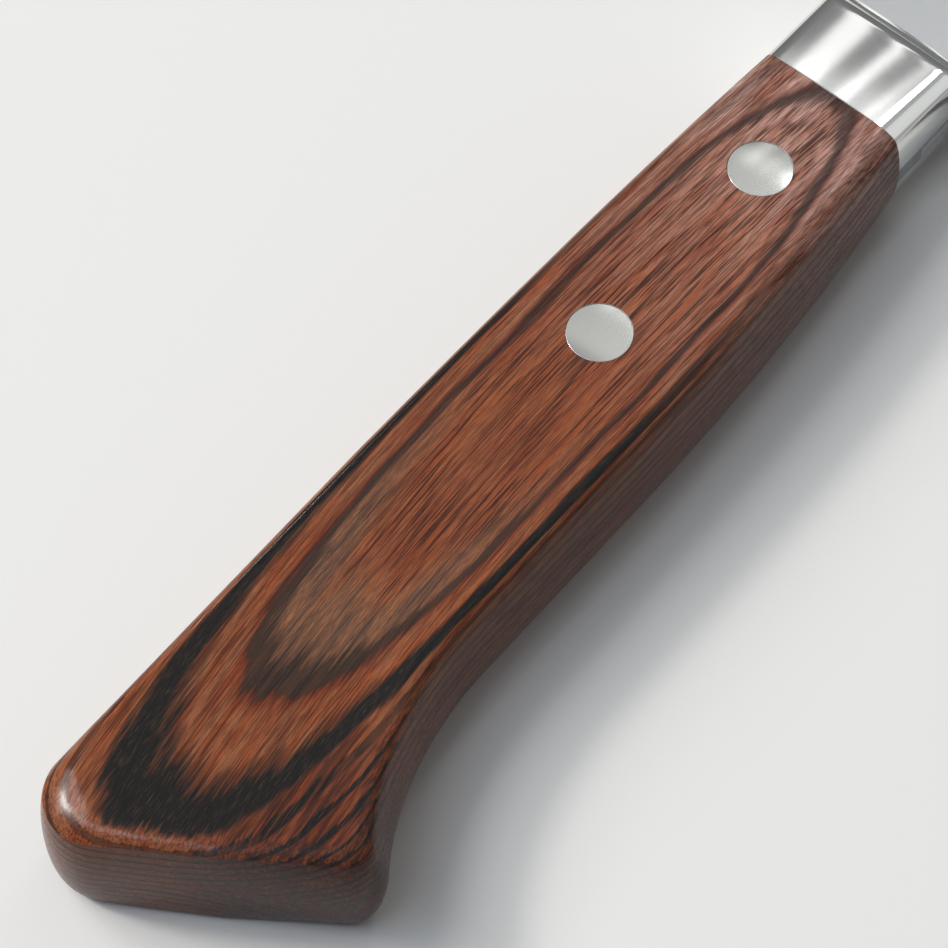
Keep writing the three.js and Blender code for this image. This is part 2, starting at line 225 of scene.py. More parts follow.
def smoothOver(mesh, degrees):
    mesh.shade_smooth()
    mesh.set_sharp_from_angle(angle=radians(degrees))


mergeDistance = 0.002  # millimetres, as the size of a sliver is
sliverSize = 0.001


def finishBody(build, mesh):  # merge doubles, drop slivers and turn the faces outwards
    bmesh.ops.remove_doubles(build, verts=build.verts, dist=mergeDistance * mm)
    bmesh.ops.dissolve_degenerate(build, edges=build.edges, dist=sliverSize * mm)
    bmesh.ops.recalc_face_normals(build, faces=build.faces)
    build.to_mesh(mesh)
    build.free()


# camera: the photo's view, worked out from the round rivet heads and the handle's edges
view = {
    "elevation": 60, "turn": 50, "focalPixels": 4433, "distance": 455, "imageSize": 948, "sensor": 36,
    "rearRivetPixel": (599.4, 332.3), "clipStart": 10,
}


def placeCamera():
    up = Vector((0, 0, 1))
    turn, tilt = radians(view["turn"]), radians(view["elevation"])
    right = Vector((cos(turn), -sin(turn), 0))
    ahead = Vector((sin(turn), cos(turn), 0))
    forward = ahead * cos(tilt) - up * sin(tilt)
    cameraUp = ahead * sin(tilt) + up * cos(tilt)
    half, focal = view["imageSize"] / 2, view["focalPixels"]
    pixelX, pixelY = view["rearRivetPixel"]
    ray = forward + right * ((pixelX - half) / focal) + cameraUp * ((half - pixelY) / focal)
    rivetTop = Vector(((rearLow.x + rearHigh.x) / 2, rivetY, scaleHigh.z))
    data = bpy.data.cameras.new("camera")
    data.sensor_width = view["sensor"]
    data.lens = focal / view["imageSize"] * view["sensor"]
    data.clip_start = view["clipStart"] * mm
    camera = newObject("camera", data)
    turned = Matrix((right, cameraUp, -forward)).transposed().to_4x4()
    camera.matrix_world = Matrix.Translation(rivetTop - ray * view["distance"] * mm) @ turned
    bpy.context.scene.camera = camera


# studio: a pale floor and room, a broad soft lamp, and smaller ones for the glints on the edges and the steel
studio = {
    "floorSize": 16.0, "floorGap": 0.12, "floorColour": (240, 239, 236), "floorBounce": (120, 118, 115),
    "floorRoughness": 0.9, "floorSpecular": 0.1,
    "roomColour": (0.96, 0.98, 1.0, 1.0), "roomStrength": 0.16, "roomLow": 0.45, "roomHigh": 0.75,
    "wallToward": (0.75, 0.60, 0.28), "wallFrom": 0.45, "wallTo": 0.92, "wallShade": 0.55,
    "lampDistance": 2.5,
}
warmWhite = (1.0, 0.98, 0.95)
skyBlue = (0.72, 0.83, 1.0)
coolWhite = (0.93, 0.97, 1.0)
barRoll = -33  # turns a strip so that its reflection runs along the bolster
# each lamp: its direction from the handle, the place along the handle that it is aimed at, its width and
# height as seen from one metre away, and how bright the lamp itself looks
lamps = [
    {"name": "keyLamp", "toward": (-0.19, 0.63, 0.75), "aim": -50, "size": (0.60, 0.60), "glow": 5.3,
     "colour": warmWhite},
    {"name": "keyCore", "toward": (-0.30, 0.665, 0.685), "aim": -110, "size": (0.13, 0.13), "glow": 50.0,
     "colour": warmWhite},
    {"name": "overheadStrip", "toward": (-0.403, 0.20, 0.893), "aim": -110, "size": (0.59, 0.22), "glow": 4.5,
     "colour": skyBlue, "roll": 33},
    {"name": "glintLamp", "toward": (0.36, 0.81, 0.46), "aim": -155, "size": (0.03, 0.09), "glow": 40.0},
    {"name": "screen", "toward": (0.46, 0.313, 0.831), "aim": -26, "size": (0.40, 0.33), "glow": 0.55,
     "roll": barRoll},
    {"name": "broadBar", "toward": (0.6037, 0.3525, 0.7177), "aim": 6, "size": (0.054, 0.24), "glow": 1.12,
     "roll": barRoll},
    {"name": "narrowBar", "toward": (0.6058, 0.2719, 0.7491), "aim": 6, "size": (0.024, 0.24), "glow": 1.25,
     "roll": barRoll},
    {"name": "thinBar", "toward": (0.6073, 0.2123, 0.7724), "aim": 6, "size": (0.018, 0.24), "glow": 0.80,
     "roll": barRoll},
    {"name": "bellyStrip", "toward": (0.605, 0.11, 0.79), "aim": 0, "size": (0.12, 0.20), "glow": 5.5,
     "colour": coolWhite, "roll": barRoll},
    {"name": "lowCard", "toward": (0.57, -0.36, 0.74), "aim": 0, "size": (0.45, 0.50), "glow": 0.30},
]


def seenDirectly(put):  # by the camera, in a mirror or through glass
    path = put("ShaderNodeLightPath").outputs
    return plus(plus(path["Is Camera Ray"], path["Is Glossy Ray"]), path["Is Transmission Ray"], clamp=True)


def roomAround(scene):  # dim as a light, but pale in the steel, with one shaded wall for contrast
    world = bpy.data.worlds.new("room")
    world.use_nodes = True
    put = benchFor(world.node_tree)
    toward = put("ShaderNodeTexCoord").outputs["Generated"]
    height = axesOf(toward)[2]
    shown = ramp(times(height, height), 0.0, 1.0, studio["roomLow"], studio["roomHigh"], "LINEAR")
    wall = vec("DOT_PRODUCT", toward, Vector(studio["wallToward"]).normalized())
    shade = ramp(wall, studio["wallFrom"], studio["wallTo"], 1.0, 1.0 - studio["wallShade"])
    strength = put("ShaderNodeMix", {
        "Factor": seenDirectly(put), "A": studio["roomStrength"], "B": times(shown, shade),
    }).outputs[0]
    fill(world.node_tree.nodes["Background"], {"Color": studio["roomColour"], "Strength": strength})
    scene.world = world


def lightStudio():
    scene = bpy.context.scene
    scene.view_settings.view_transform = "Standard"
    roomAround(scene)
    for lamp in lamps:
        width, height = [v * studio["lampDistance"] for v in lamp["size"]]
        data = bpy.data.lights.new(lamp["name"], "AREA")
        data.shape = "RECTANGLE"
        data.size = width
        data.size_y = height
        data.energy = lamp["glow"] * pi * width * height
        data.color = lamp.get("colour", (1.0, 1.0, 1.0))
        toward = Vector(lamp["toward"]).normalized()
        holder = newObject(lamp["name"], data)
        holder.location = spot(lamp["aim"], 0) + toward * studio["lampDistance"]
        turn = toward.to_track_quat("Z", "Y") @ Quaternion((0, 0, 1), radians(lamp.get("roll", 0)))
        holder.rotation_euler = turn.to_euler()


def newMaterial(name):
    material = bpy.data.materials.new(name)
    material.use_nodes = True
    return material, material.node_tree.nodes["Principled BSDF"], benchFor(material.node_tree)


def blendColours(put, share, low, high):  # the colours of a mix node are its inputs 6 and 7
    return put("ShaderNodeMix", {"Factor": share, 6: low, 7: high}, data_type="RGBA").outputs[2]


def floorPaint():  # pale to the eye and in reflections, but it throws little light back at the knife
    material, shader, put = newMaterial("floorPaint")
    bounce, pale = linear(*studio["floorBounce"]), linear(*studio["floorColour"])
    fill(shader, {
        "Base Color": blendColours(put, seenDirectly(put), bounce, pale),
        "Roughness": studio["floorRoughness"], "Specular IOR Level": studio["floorSpecular"],
    })
    return material


def layFloor():
    build = bmesh.new()
    bmesh.ops.create_grid(build, x_segments=2, y_segments=2, size=studio["floorSize"] / 2)
    floor = objectFrom(build, "floor")
    floor.location.z = cadLow.z - studio["floorGap"] * mm
    floor.data.materials.append(floorPaint())


placeCamera()
lightStudio()
layFloor()
print("camera and studio are set")

# handle: millimetres, the same shape as the solids but drawn finer
handle = {
    "length": (scaleHigh.x - scaleLow.x) / mm,
    "half": (scaleHigh.z - midZ) / mm,
    "jointThinning": 1.0, "swell": 34,
    "jointSpine": (tangHigh.y - rivetY) / mm, "gripSpine": 10.9, "humpSetback": 66, "spineFall": 0.5,
    "jointBelly": (rivetY - tangLow.y) / mm, "gripBelly": 12.7, "levelSetback": 50, "flareSetback": 72,
    "flareAngle": radians(38), "buttDrop": 21.4, "buttSlant": radians(33),
    "spineRadius": 6, "bellyRadius": 3.8,
    "gripRings": 130, "buttRings": 80, "edgePoints": 19, "facePoints": 18, "jointGap": 0.03,
    "slopeSpan": 0.1, "cornerSpread": 0.3, "crown": 0.0,
}
# edges in section: lean of the side, drop of the crease below the face, roll into the face, and where the
# roll's shoulder lies, as a share of it
spineEdge = (0.5, 1.7, 1.7, 0.1)
jointEdge = (1.0, 0.8, 2.6, 0.4)
bellyEdge = (1.7, 0.8, 2.0, 0.45)
flareEdge = (1.4, 1.0, 2.2, 0.4)
buttEdge = (0.4, 0.75, 2.8, 0.5)
cornerEdge = (0.5, 1.7, 4.6, 0.5)
sideSweep = pi / 3


def blendEdges(a, b, share):
    return tuple(mix(p, q, share) for p, q in zip(a, b))


def bezier(points, t):  # a quadratic or cubic curve
    while len(points) > 1:
        points = [a.lerp(b, t) for a, b in zip(points, points[1:])]
    return points[0]


def heightAt(points, x, halvings=40):  # height of a curve that runs along X
    rising = points[-1].x > points[0].x
    low, high = 0.0, 1.0
    for _ in range(halvings):
        middle = (low + high) / 2
        if (bezier(points, middle).x < x) == rising:
            low = middle
        else:
            high = middle
    return bezier(points, low).y


def faceHeight(x):  # the handle thins towards the joint, and on through the bolster
    return handle["half"] - handle["jointThinning"] * max(0.0, 1 + x / handle["swell"]) ** 2


buttOut = flatSpot(-cos(handle["buttSlant"]), -sin(handle["buttSlant"]))
buttSpine = handle["gripSpine"] - handle["spineFall"]
spineCentre = flatSpot(handle["spineRadius"] - handle["length"], buttSpine - handle["spineRadius"])
cutStart = spineCentre + buttOut * handle["spineRadius"]
bellyCentreY = handle["bellyRadius"] - handle["buttDrop"]
cutShift = handle["spineRadius"] - handle["bellyRadius"] - (bellyCentreY - spineCentre.y) * buttOut.y
bellyCentre = flatSpot(spineCentre.x + cutShift / buttOut.x, bellyCentreY)
cutEnd = bellyCentre + buttOut * handle["bellyRadius"]
cutMiddle = cutStart.lerp(cutEnd, 0.5)
flareRise = flatSpot(cos(handle["flareAngle"]), sin(handle["flareAngle"]))
flareStart = flatSpot(-handle["flareSetback"], -handle["gripBelly"])
flareEnd = bellyCentre + flatSpot(flareRise.y, -flareRise.x) * handle["bellyRadius"]
flareReach = (flareEnd - flareStart).length / 3
flareCurve = [flareStart, flareStart - flatSpot(flareReach, 0), flareEnd + flareRise * flareReach, flareEnd]
hump = flatSpot(-handle["humpSetback"], handle["gripSpine"])
spineCurve = [flatSpot(0, handle["jointSpine"]), flatSpot(hump.x / 2, hump.y), hump]
spineTail = [hump, flatSpot(spineCentre.x, buttSpine)]
bellyCurve = [
    flatSpot(0, -handle["jointBelly"]),
    flatSpot(-handle["levelSetback"] / 2, -handle["gripBelly"]),
    flatSpot(-handle["levelSetback"], -handle["gripBelly"]),
]


def spineAt(x):
    return heightAt(spineCurve if x > hump.x else spineTail, x)


def bellyAt(x):
    if x > -handle["levelSetback"]:
        return heightAt(bellyCurve, x)
    return -handle["gripBelly"] if x > flareStart.x else heightAt(flareCurve, x)


def bellyEdgeAt(x):
    level = handle["levelSetback"]
    if x > -level:
        return blendEdges(jointEdge, bellyEdge, -x / level)
    return blendEdges(bellyEdge, flareEdge, (x + level) / (flareEnd.x + level))


def ring(spine, spineIn, spineForm, belly, bellyIn, bellyForm, half):
    return {"spine": spine, "spineIn": spineIn, "spineForm": spineForm,
            "belly": belly, "bellyIn": bellyIn, "bellyForm": bellyForm, "half": half}


def lineRun(a, b):
    return (b - a).length, lambda s: (a.lerp(b, s), (b - a).normalized())


def arcRun(centre, radius, start, end):
    way = 1 if end > start else -1

    def at(s):
        angle = mix(start, end, s)
        return centre + flatSpot(cos(angle), sin(angle)) * radius, flatSpot(-sin(angle), cos(angle)) * way

    return abs(end - start) * radius, at


def pathAt(runs, share):  # point and direction at a share of a path's length
    left = share * sum(length for length, _ in runs)
    for length, at in runs[:-1]:
        if left <= length:
            return at(left / length)
        left -= length
    length, at = runs[-1]
    return at(min(1.0, left / length))


def handleRings():
    rings = []
    for i in range(handle["gripRings"] + 1):
        x = mix(-handle["jointGap"], flareEnd.x, i / handle["gripRings"])
        after, before = x + handle["slopeSpan"], max(flareEnd.x, x - handle["slopeSpan"])
        slope = 0.0 if x > flareStart.x else (bellyAt(after) - bellyAt(before)) / (after - before)
        rings.append(ring(flatSpot(x, spineAt(x)), flatSpot(0, -1), spineEdge,
                          flatSpot(x, bellyAt(x)), flatSpot(-slope, 1).normalized(), bellyEdgeAt(x),
                          faceHeight(x)))
    cutAngle = pi + handle["buttSlant"]
    overSpine = [
        lineRun(flatSpot(flareEnd.x, spineAt(flareEnd.x)), flatSpot(spineCentre.x, buttSpine)),
        arcRun(spineCentre, handle["spineRadius"], pi / 2, cutAngle),
        lineRun(cutStart, cutMiddle),
    ]
    underBelly = [
        arcRun(bellyCentre, handle["bellyRadius"], handle["flareAngle"] - pi / 2, cutAngle - 2 * pi),
        lineRun(cutEnd, cutMiddle),
    ]
    straight, bent = overSpine[0][0], overSpine[1][0]
    cornerShare = (straight + bent / 2) / sum(length for length, _ in overSpine)
    for i in range(1, handle["buttRings"] + 1):
        share = i / handle["buttRings"]
        softness = ease(keep(1 - abs(share - cornerShare) / handle["cornerSpread"], 0.0, 1.0))
        spine, spineWay = pathAt(overSpine, share)
        belly, bellyWay = pathAt(underBelly, share)
        overForm = blendEdges(blendEdges(spineEdge, buttEdge, share), cornerEdge, softness)
        rings.append(ring(spine, flatSpot(-spineWay.y, spineWay.x), overForm,
                          belly, flatSpot(bellyWay.y, -bellyWay.x), blendEdges(flareEdge, buttEdge, share),
                          handle["half"]))
    return rings


# bolster: a straight block that rounds over at its front and scoops down to the blade
bolster = {
    "length": 12.2, "shoulderRound": 2.2, "scoopLength": 2.5, "scoopHeight": 4.0, "toeHeight": 0.3,
    "neckHalf": (bolsterLow.z - midZ) / mm, "crown": 0.20,
    "blockRings": 12, "curveRings": 14, "edgePoints": 19, "facePoints": 48,
}


def bolsterRings():
    length, scoopHeight = bolster["length"], bolster["scoopHeight"]
    brow = length - bolster["shoulderRound"]
    browHeight = faceHeight(brow)
    toe = bolster["neckHalf"] + bolster["toeHeight"]
    blockPlaces = [brow * i / bolster["blockRings"] for i in range(bolster["blockRings"] + 1)]
    line = [(x, faceHeight(x)) for x in blockPlaces]
    angles = [pi / 2 * i / bolster["curveRings"] for i in range(1, bolster["curveRings"] + 1)]
    for angle in angles:
        fall = (browHeight - scoopHeight) * (1 - cos(angle))
        line.append((brow + bolster["shoulderRound"] * sin(angle), browHeight - fall))
    for angle in angles:
        x = length + bolster["scoopLength"] * (1 - cos(angle))
        line.append((x, scoopHeight - (scoopHeight - toe) * sin(angle)))
    rings = []
    for x, half in line:
        size = half / faceHeight(0)
        spineForm, bellyForm = [(*[v * size for v in form[:3]], form[3]) for form in (spineEdge, jointEdge)]
        rings.append(ring(flatSpot(x, handle["jointSpine"]), flatSpot(0, -1), spineForm,
                          flatSpot(x, -handle["jointBelly"]), flatSpot(0, 1), bellyForm, half))
    return rings


def ringGuide(name, rings):  # one point for each ring, with its rails and edge forms as attributes
    mesh = bpy.data.meshes.new(name)
    mesh.from_pydata([spot(*r["spine"]) for r in rings], [], [])

    def store(key, kind, values):
        field = mesh.attributes.new(key, kind, "POINT")
        flat = [c for v in values for c in v] if kind == "FLOAT_VECTOR" else list(values)
        field.data.foreach_set("vector" if kind == "FLOAT_VECTOR" else "value", flat)

    for side in ("spine", "belly"):
        store(side + "At", "FLOAT_VECTOR", [spot(*r[side]) for r in rings])
        store(side + "In", "FLOAT_VECTOR", [(*r[side + "In"], 0.0) for r in rings])
        store(side + "Form", "FLOAT_VECTOR", [[v * mm for v in r[side + "Form"][:3]] for r in rings])
        store(side + "Shoulder", "FLOAT", [r[side + "Form"][3] for r in rings])
    store("half", "FLOAT", [r["half"] * mm for r in rings])
    return mesh


def edgeSectionTree():  # one edge in section: how far in from the rail and how far out from the middle plane
    tree, put, given = newTree("edgeSection", "GeometryNodeTree", {
        "Along": 0.0, "Rail": "Vector", "Inward": "Vector", "Form": "Vector", "Shoulder": 0.3, "Half": 0.007,
        "Inner Height": 0.0, "Sweep": sideSweep, "Face Slope": 0.0,
    }, {"Rail Point": "Vector", "Height": "Float"})
    lean, drop, roll = axesOf(given["Form"])
    crease = minus(given["Half"], drop)
    sweepSin = calc("SINE", given["Sweep"])
    sideShare = times(given["Along"], 2.0, clamp=True)
    rollShare = minus(times(given["Along"], 2.0), 1.0, clamp=True)
    startSin = over(times(given["Inner Height"], sweepSin), crease, clamp=True)
    start = calc("MINIMUM", calc("ARCSINE", startSin), given["Sweep"])
    angle = plus(start, times(minus(given["Sweep"], start), sideShare))
    leanShare = over(minus(1.0, calc("COSINE", angle)), minus(1.0, calc("COSINE", given["Sweep"])))
    sideInset = times(lean, leanShare)
    sideHeight = times(crease, over(calc("SINE", angle), sweepSin))
    rest = minus(1.0, rollShare)
    pull = times(times(rollShare, rest), 2.0)
    lowPull = times(pull, given["Shoulder"])
    rollInset = times(roll, plus(lowPull, times(rollShare, rollShare)))
    rollHeight = times(drop, minus(1.0, times(rest, rest)))
    slopeReach = times(roll, minus(1.0, given["Shoulder"]))
    slopeFall = times(times(pull, slopeReach), given["Face Slope"])
    rollHeight = minus(rollHeight, slopeFall)
    inset = plus(sideInset, rollInset)
    railPoint = vec("ADD", given["Rail"], scaled(given["Inward"], inset))
    height = calc("MAXIMUM", plus(sideHeight, rollHeight), given["Inner Height"])
    put("NodeGroupOutput", {"Rail Point": railPoint, "Height": height})
    return tree


def gridPlace(put, across):  # row and column of each point of a grid
    index = put("GeometryNodeInputIndex").outputs[0]
    row = calc("FLOOR", over(plus(index, 0.5), across))
    return row, minus(index, times(row, across))


def finishTree(put, geometry, material):
    whole = put("GeometryNodeRealizeInstances", {"Geometry": geometry})
    finished = put("GeometryNodeSetMaterial", {"Geometry": whole.outputs[0], "Material": material})
    put("NodeGroupOutput", {"Geometry": finished.outputs[0]})


def sectionSkinTree():  # a skin over a row of rings: up the spine edge, over the face, down the belly edge
    tree, put, given = newTree("sectionSkin", "GeometryNodeTree", {
        "Geometry": "Geometry", "Edge Points": 12, "Face Points": 10, "Mid Height": 0.0, "Inner Height": 0.0,
        "Crown": 0.0, "Face Slope": 0.0, "Side": 1.0, "Material": "Material",
    }, {"Geometry": "Geometry"})
    rings = put("GeometryNodeAttributeDomainSize", {"Geometry": given["Geometry"]}).outputs["Point Count"]
    across = plus(times(given["Edge Points"], 2.0), given["Face Points"])
    grid = put("GeometryNodeMeshGrid", {"Vertices X": rings, "Vertices Y": across})
    row, column = gridPlace(put, across)
    edgeSpan = minus(given["Edge Points"], 1.0)
    faceSpan = plus(given["Face Points"], 1.0)
    fromSpine = over(column, edgeSpan, clamp=True)
    fromBelly = over(minus(minus(across, 1.0), column), edgeSpan, clamp=True)
    overFace = over(minus(column, edgeSpan), faceSpan, clamp=True)

    def atRing(key, kind="FLOAT_VECTOR"):
        field = put("GeometryNodeInputNamedAttribute", {"Name": key}, data_type=kind).outputs["Attribute"]
        sockets = {"Geometry": given["Geometry"], "Value": field, "Index": row}
        return put("GeometryNodeSampleIndex", sockets, data_type=kind).outputs[0]

    half = atRing("half", "FLOAT")

    def edge(side, along):
        return put("GeometryNodeGroup", {
            "Along": along, "Rail": atRing(side + "At"), "Inward": atRing(side + "In"), "Half": half,
            "Form": atRing(side + "Form"), "Shoulder": atRing(side + "Shoulder", "FLOAT"),
            "Inner Height": given["Inner Height"], "Face Slope": given["Face Slope"],
        }, node_tree=edgeSection).outputs

    spine, belly = edge("spine", fromSpine), edge("belly", fromBelly)
    point = put("ShaderNodeMix", {
        "Factor": overFace, 4: spine["Rail Point"], 5: belly["Rail Point"],
    }, data_type="VECTOR")
    height = put("ShaderNodeMix", {"Factor": overFace, "A": spine["Height"], "B": belly["Height"]})
    arch = times(times(overFace, minus(1.0, overFace)), 4.0)
    crowned = plus(height.outputs[0], times(arch, given["Crown"]))
    z = plus(given["Mid Height"], times(given["Side"], crowned))
    x, y, _ = axesOf(point.outputs[1])
    place = fromAxes(x, y, z)
    moved = put("GeometryNodeSetPosition", {"Geometry": grid.outputs["Mesh"], "Position": place})
    finishTree(put, moved.outputs[0], given["Material"])
    return tree


def closeSkin(piece, rings, across, farCap):  # add the flat inner face and the ends, to make one body
    build = bmesh.new()
    build.from_mesh(piece.data)
    verts = list(build.verts)
    rows = [verts[i * across:(i + 1) * across] for i in range(rings)]
    build.faces.new(rows[0])
    if farCap:
        build.faces.new(rows[-1])
    build.faces.new([row[0] for row in rows] + [row[-1] for row in reversed(rows)])
    finishBody(build, piece.data)


def drawSkin(name, rings, spec, side, material, innerHeight=0.0, farCap=False):
    guide = ringGuide(name, rings)
    first = rings[0]
    edges = sum(first[end][0] + first[end][2] for end in ("spineForm", "bellyForm"))
    faceWidth = (first["spine"] - first["belly"]).length - edges
    crownSlope = 4 * spec["crown"] / faceWidth  # a parabola's slope where the face begins
    piece = grow(guide, sectionSkin, {
        "Edge Points": spec["edgePoints"], "Face Points": spec["facePoints"], "Mid Height": midZ,
        "Inner Height": innerHeight * mm, "Crown": spec["crown"] * mm, "Face Slope": crownSlope,
        "Side": float(side), "Material": material,
    }, name)
    closeSkin(piece, len(rings), 2 * spec["edgePoints"] + spec["facePoints"], farCap)
    return piece


# rivets: two halves for each, the heads ground flush with the wood and very slightly domed
rivets = {
    "setbacks": [
        (jointX - (low.x + high.x) / 2) / mm for low, high in ((frontLow, frontHigh), (rearLow, rearHigh))
    ],
    "headRadius": (rearHigh.x - rearLow.x) / 2 / mm, "headDepth": 2.2, "dome": 0.13, "rim": 0.05,
    "proud": -0.06, "shankRadius": 1.5, "tubeRadius": 2.5, "boreRadius": 1.6, "floor": 0.6, "fit": 0.1,
    "hairline": 0.05, "segments": 96, "steps": 10,
}


def rivetTree():  # a turned rivet half on each point
    tree, put, given = newTree("rivetHalves", "GeometryNodeTree", {
        "Geometry": "Geometry", "Head Radius": 0.0035, "Dome": 0.0, "Rim": 0.0001, "Head Depth": 0.002,
        "Stem Radius": 0.002, "Stem Length": 0.01, "Bore Radius": 0.0, "Bore Depth": 0.0,
        "Segments": 64, "Steps": 6, "Material": "Material",
    }, {"Geometry": "Geometry"})
    runs = ("dome", "rim", "wall", "underside", "stem", "stemEnd", "bore", "boreFloor")
    columns = plus(times(given["Steps"], float(len(runs))), 1.0)
    grid = put("GeometryNodeMeshGrid", {"Vertices X": plus(given["Segments"], 1.0), "Vertices Y": columns})
    turn, column = gridPlace(put, columns)
    along = over(column, given["Steps"])
    share = {run: minus(along, float(k), clamp=True) for k, run in enumerate(runs)}
    quarter = times(share["rim"], pi / 2)
    radius = times(share["dome"], minus(given["Head Radius"], given["Rim"]))
    radius = plus(radius, times(given["Rim"], calc("SINE", quarter)))
    underside = minus(given["Head Radius"], given["Stem Radius"])
    radius = minus(radius, times(underside, share["underside"]))
    stemEnd = minus(given["Stem Radius"], given["Bore Radius"])
    radius = minus(radius, times(stemEnd, share["stemEnd"]))
    radius = minus(radius, times(given["Bore Radius"], share["boreFloor"]))
    height = times(given["Dome"], minus(1.0, times(share["dome"], share["dome"])))
    rimFall = times(given["Rim"], minus(1.0, calc("COSINE", quarter)))
    wall = times(minus(given["Head Depth"], given["Rim"]), share["wall"])
    stem = times(given["Stem Length"], share["stem"])
    bore = times(given["Bore Depth"], share["bore"])
    fall = plus(plus(rimFall, wall), minus(stem, bore))
    angle = times(over(turn, given["Segments"]), 2 * pi)
    x, y = [times(radius, calc(wave, angle)) for wave in ("COSINE", "SINE")]
    place = fromAxes(x, y, minus(height, fall))
    turned = put("GeometryNodeSetPosition", {"Geometry": grid.outputs["Mesh"], "Position": place})
    merged = put("GeometryNodeMergeByDistance", {
        "Geometry": turned.outputs[0], "Distance": mergeDistance * mm,
    })
    outward = put("GeometryNodeInputNamedAttribute", {"Name": "outward"}, data_type="FLOAT_VECTOR").outputs[0]
    facing = put("FunctionNodeAlignRotationToVector", {"Vector": outward}, axis="Z")
    halves = put("GeometryNodeInstanceOnPoints", {
        "Points": given["Geometry"], "Instance": merged.outputs[0], "Rotation": facing.outputs[0],
    })
    finishTree(put, halves.outputs[0], given["Material"])
    return tree


def rivetSeat(setback, side):  # the middle of a head on the handle's face, and the way that it looks
    step = handle["slopeSpan"]
    slope = (faceHeight(-setback + step) - faceHeight(-setback - step)) / (2 * step)
    outward = Vector((-slope, 0, 1)).normalized()
    return Vector((-setback, 0, faceHeight(-setback))), Vector((outward.x, 0, side * outward.z))


def drawRivets(name, side, stemRadius, boreRadius, material):
    seats = [rivetSeat(setback, side) for setback in rivets["setbacks"]]
    guide = bpy.data.meshes.new(name)
    tops = [Vector((at.x, at.y, side * at.z)) + outward * rivets["proud"] for at, outward in seats]
    guide.from_pydata([spot(*top) for top in tops], [], [])
    field = guide.attributes.new("outward", "FLOAT_VECTOR", "POINT")
    field.data.foreach_set("vector", [c for _, outward in seats for c in outward])
    reach = 2 * (min(at.z for at, _ in seats) - rivets["headDepth"]) - rivets["floor"] - rivets["fit"]
    piece = grow(guide, rivetHalves, {
        "Head Radius": rivets["headRadius"] * mm, "Dome": rivets["dome"] * mm, "Rim": rivets["rim"] * mm,
        "Head Depth": rivets["headDepth"] * mm, "Stem Radius": stemRadius * mm, "Stem Length": reach * mm,
        "Bore Radius": boreRadius * mm, "Bore Depth": (reach if boreRadius else 0.0) * mm,
        "Segments": rivets["segments"], "Steps": rivets["steps"], "Material": material,
    }, name)
    build = bmesh.new()
    build.from_mesh(piece.data)
    finishBody(build, piece.data)
    return piece


def drillHeads(piece, side):  # holes that the rivet heads sit in
    build = bmesh.new()
    radius = (rivets["headRadius"] + rivets["hairline"]) * mm
    depth = 2 * rivets["headDepth"] * mm
    for setback in rivets["setbacks"]:
        at, outward = rivetSeat(setback, side)
        turn = outward.to_track_quat("Z", "Y").to_matrix().to_4x4()
        place = Matrix.Translation(spot(at.x, at.y, side * at.z)) @ turn
        bmesh.ops.create_cone(
            build, cap_ends=True, segments=rivets["segments"], radius1=radius, radius2=radius, depth=depth,
            matrix=place,
        )
    drill = objectFrom(build, "drill")
    cut = piece.modifiers.new("drill", "BOOLEAN")
    cut.object = drill
    cut.operation = "DIFFERENCE"
    cut.solver = "EXACT"
    bpy.context.view_layer.update()
    drilled = modifiedMesh(piece)
    piece.modifiers.remove(cut)
    piece.data = drilled
    bpy.data.objects.remove(drill)


# blade: three layers ground to an edge, drawn as sections from the neck to the tip
blade = {
    "neckHalf": bolster["neckHalf"], "tipHalf": 0.6, "coreHalf": (coreHigh.z - midZ) / mm, "weldX": 4,
    "chinRadius": 3, "chinLean": 1, "tipDrop": 14,
    "spineTipAngle": radians(14), "spineLevelReach": 110, "spineTipReach": 55,
    "edgeTipAngle": radians(38), "edgeLevelReach": 128, "edgeTipReach": 46,
    "edgeHalf": 0.04, "bevelHeight": 1.2, "bevelHalf": 0.16, "tipBevelParts": 3,
    "grindSlope": 0.03, "grindSoftness": 0.12,
    "spineRound": 0.28, "spineRoundTip": 0.08, "spineRoundSteps": 3,
    "seam": 0.02, "cladWave": 0.55, "leftPhase": 2.1,
    "waves": ((7.3, 1.0, 1.0), (3.1, 0.6, 1.7), (1.37, 0.35, 1.0)),  # length, height and share of the phase
    "neckSections": 6, "chinSections": 12, "heelSections": (0.0, 0.08, 0.25, 0.7), "heelReach": 1.4,
    "bladeSections": 150, "tipCrowding": 1.5, "tipGap": 0.02, "cladRows": 22, "coreRows": 12,
}
leastClad = 2 * blade["spineRound"]  # an outer layer that is lower than this ends
neckFront = (bolsterHigh.x - jointX) / mm
chinBack = neckFront - blade["chinRadius"]
chinTop = flatSpot(neckFront, -handle["jointBelly"] - blade["chinRadius"])
heel = flatSpot(neckFront + blade["chinLean"], (coreLow.y - rivetY) / mm)
tip = flatSpot((coreHigh.x - jointX) / mm, handle["jointSpine"] - blade["tipDrop"])


def bladeOutline(start, line, rise):  # level at its start, and sloping to the tip from above or below
    angle = blade[line + "TipAngle"]
    beforeTip = tip + flatSpot(-cos(angle), rise * sin(angle)) * blade[line + "TipReach"]
    return [start, start + flatSpot(blade[line + "LevelReach"], 0), beforeTip, tip]


bladeSpine = bladeOutline(flatSpot(neckFront, handle["jointSpine"]), "spine", 1)
bladeEdge = bladeOutline(heel, "edge", -1)


def bladeTop(x):
    return heightAt(bladeSpine, x) if x > neckFront else handle["jointSpine"]


def edgeBelow(x):
    return heightAt(bladeEdge, x) if x > heel.x else heel.y


